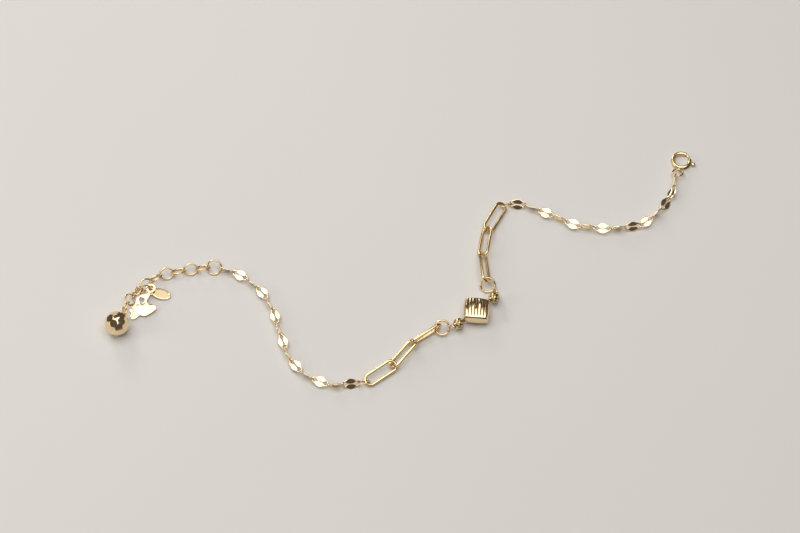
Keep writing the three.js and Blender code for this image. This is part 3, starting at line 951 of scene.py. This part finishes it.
def outlineEdges(bm, spots):
    verts = [bm.verts.new((x, y, 0)) for x, y in spots]
    return [bm.edges.new(pair) for pair in zip(verts, verts[1:] + verts[:1])]


def roundSpots(size, sides):
    turns = [fullTurn * k / sides for k in range(sides)]
    return [(math.cos(turn) * size / 2, math.sin(turn) * size / 2) for turn in turns]


rimAngle = 60


def sharpRims(bm):
    return [edge for edge in bm.edges if edge.calc_face_angle(0) > rad(rimAngle)]


# a flat plate with its holes, extruded and with its edges eased
def plate(loops, thick, bevel):
    bm = bmesh.new()
    edges = [edge for spots in loops for edge in outlineEdges(bm, spots)]
    bmesh.ops.triangle_fill(bm, edges=edges, use_beauty=True, use_dissolve=False, normal=up)
    grown = bmesh.ops.extrude_face_region(bm, geom=bm.faces[:])["geom"]
    lifted = [item for item in grown if isinstance(item, bmesh.types.BMVert)]
    bmesh.ops.translate(bm, vec=(0, 0, thick), verts=lifted)
    bmesh.ops.recalc_face_normals(bm, faces=bm.faces)
    bmesh.ops.translate(bm, vec=(0, 0, -thick / 2), verts=bm.verts)
    soft = {"affect": "EDGES", "segments": 2, "profile": 0.5, "material": -1}
    bmesh.ops.bevel(bm, geom=sharpRims(bm), offset=bevel, clamp_overlap=True, **soft)
    return bm


hook = extenderPieces[charmHook["over"] - 1]["place"]
bar = hook @ Vector((0, (extender["width"] - extender["wire"]) / 2, 0))
slope = rad(charmHook["slope"])
charmWay = level(charmHook["heading"]) * math.cos(slope) - up * math.sin(slope)
charmReach = charmLink["length"] / 2 - charmLink["wire"] - extender["wire"] / 2
charmReach = charmReach - charmHook["clear"]
charmCentre = bar + charmWay * charmReach + Vector(charmHook["shift"])
charmLinkPlace = frameOf(charmCentre, charmWay, charmHook["roll"])
addLink("charmLink", charmLink, charmLinkPlace, "charm_link")
charmEye = charmCentre + charmWay * ((charmLink["length"] - charmLink["wire"]) / 2)

outline, perCorner = charm["outline"], charm["perCorner"]
curve = [smoothRow(outline, k / perCorner) for k in range(len(outline) * perCorner)]
cut, lobes = charm["cutOut"], charm["lobes"]
piercing = []
for turn in (fullTurn * k / cut["sides"] for k in range(cut["sides"])):
    lobe = 1 + lobes["depth"] * math.cos(lobes["count"] * turn - lobes["turn"])
    x = cut["x"] + math.cos(turn) * lobe * cut["width"] / 2
    piercing.append((x, cut["y"] + math.sin(turn) * lobe * cut["height"] / 2))
charmOutline = [(row["x"], row["y"]) for row in curve]
charmPlate = plate([charmOutline, piercing], charm["thick"], charm["bevel"])
eyeLoops = [roundSpots(size, charm["eyeSides"]) for size in (charm["eye"], charm["hole"])]
eyePlate = plate(eyeLoops, charm["thick"] + charm["eyeExtra"], charm["bevel"])
join(charmPlate, eyePlate, Matrix.Identity(4))
charmTurn = Matrix.Rotation(rad(charm["tilt"]), 4, "X")
charmPlace = Matrix.Translation(charmEye + Vector(charm["from"])) @ charmTurn
bmesh.ops.transform(charmPlate, matrix=charmPlace, verts=charmPlate.verts)
addPiece("charmPlate", charmPlate, ["charm"], "polished_gold", sharp=30)

oval = bmesh.new()
satinAndShade = oval.verts.layers.float.new("paintedShade")
bmesh.ops.create_circle(oval, cap_ends=True, segments=tag["sides"], radius=1)
bmesh.ops.scale(oval, vec=(tag["length"] / 2, tag["width"] / 2, 1), verts=oval.verts)
grown = bmesh.ops.extrude_face_region(oval, geom=oval.faces[:])["geom"]
lifted = [item for item in grown if isinstance(item, bmesh.types.BMVert)]
bmesh.ops.translate(oval, vec=(0, 0, tag["thick"]), verts=lifted)
top = max(oval.faces, key=lambda item: item.calc_center_median().z)
bmesh.ops.inset_region(oval, faces=[top], thickness=tag["rim"])
bmesh.ops.inset_region(oval, faces=[top], thickness=tag["dishSlope"], depth=-tag["dish"])
# painted shade: the dished face is darkened in colour, and made a little rougher as a satin finish
for vert in top.verts:
    vert[satinAndShade] = tag["satinAndShade"]
bmesh.ops.recalc_face_normals(oval, faces=oval.faces)
soft = {"affect": "EDGES", "segments": 2, "profile": 0.5, "material": -1}
bmesh.ops.bevel(oval, geom=sharpRims(oval), offset=tag["bevel"], **soft)
bmesh.ops.translate(oval, vec=(tag["away"], 0, -tag["thick"] / 2), verts=oval.verts)
earLoops = [roundSpots(size, tag["earSides"]) for size in (tag["ear"], tag["hole"])]
earPlate = plate(earLoops, tag["thick"] - tag["earThinner"], tag["bevel"])
join(oval, earPlate, Matrix.Identity(4))
tagTurn = Matrix.Rotation(rad(tag["heading"]), 4, "Z")
tagTurn = tagTurn @ Matrix.Rotation(rad(tag["tilt"]), 4, "Y")
tagPlace = Matrix.Translation(charmEye + Vector(tag["from"])) @ tagTurn
bmesh.ops.transform(oval, matrix=tagPlace, verts=oval.verts)
addPiece("tagPlate", oval, ["tag"], "polished_gold", sharp=30)
print("charm and tag made")

# stage, light and camera
stageLooks = {
    "floor": (0.8, 0.79, 0.77, 1),
    "floorPatch": (0.76, 0.75, 0.73, 1),
    "floorRough": 0.75,
    "floorSize": 6,
    "floorDrop": 0.00002,
    "patchScale": 6,
    "patchDetail": 3,
    "world": (0.5, 0.42, 0.33, 1),
    "worldStrength": 0.19,
}
view = {"lens": 120, "sensor": 36, "elevation": 58, "distance": 620.16}
softBoxes = [
    {
        "name": "overheadBox",
        "at": (-0.02, -0.01, 0.745),
        "size": 0.8,
        "power": 4.2,
        "tint": (1, 0.985, 0.965),
    },
    {
        "name": "leftBox",
        "at": (-0.44, 0.36, 0.68),
        "size": 0.34,
        "power": 0.76,
        "tint": (1, 0.985, 0.965),
    },
    {
        "name": "backBox",
        "at": (-0.3, 0.6, 0.3),
        "size": 0.25,
        "power": 1,
        "tint": (1, 0.98, 0.95),
    },
    {
        "name": "sideBox",
        "at": (-0.6, -0.1, 0.3),
        "size": 0.25,
        "power": 0.8,
        "tint": (1, 0.96, 0.91),
    },
]

floorMesh = bmesh.new()
bmesh.ops.create_grid(floorMesh, x_segments=1, y_segments=1, size=stageLooks["floorSize"] / 2)
bmesh.ops.translate(floorMesh, vec=(0, 0, -stageLooks["floorDrop"]), verts=floorMesh.verts)
mesh = bpy.data.meshes.new("floor")
floorMesh.to_mesh(mesh)
floorMesh.free()
floorFinish = Finish("floorPaper")
place = floorFinish.node("ShaderNodeTexCoord", {}, {}, "Object")
patch = floorFinish.noise(place, stageLooks["patchScale"], stageLooks["patchDetail"])
paper = floorFinish.blend(patch, stageLooks["floor"], stageLooks["floorPatch"])
floorFinish.put(floorFinish.shader.inputs["Base Color"], paper)
floorFinish.put(floorFinish.shader.inputs["Roughness"], stageLooks["floorRough"])
mesh.materials.append(floorFinish.material)
floor = bpy.data.objects.new("floor", mesh)
bpy.context.scene.collection.objects.link(floor)

world = bpy.data.worlds.new("softRoom")
world.use_nodes = True
sky = world.node_tree.nodes["Background"]
sky.inputs["Color"].default_value = stageLooks["world"]
sky.inputs["Strength"].default_value = stageLooks["worldStrength"]
bpy.context.scene.world = world
for box in softBoxes:
    lamp = bpy.data.lights.new(box["name"], "AREA")
    lamp.shape = "SQUARE"
    lamp.size = box["size"]
    lamp.energy = box["power"]
    lamp.color = box["tint"]
    light = bpy.data.objects.new(box["name"], lamp)
    light.location = box["at"]
    light.rotation_euler = (-Vector(box["at"])).to_track_quat("-Z", "Y").to_euler()
    bpy.context.scene.collection.objects.link(light)

aim = toFrame.translation * mm
tilt = rad(view["elevation"])
back = Vector((0, -math.cos(tilt), math.sin(tilt)))
lens = bpy.data.cameras.new("camera")
lens.lens = view["lens"]
lens.sensor_width = view["sensor"]
lens.sensor_fit = "HORIZONTAL"
camera = bpy.data.objects.new("camera", lens)
camera.location = aim + back * view["distance"] * mm
camera.rotation_euler = (rad(90) - tilt, 0, 0)
bpy.context.scene.collection.objects.link(camera)
bpy.context.scene.camera = camera
bpy.context.scene.view_settings.view_transform = "Standard"
print("stage set")

bpy.context.view_layer.update()
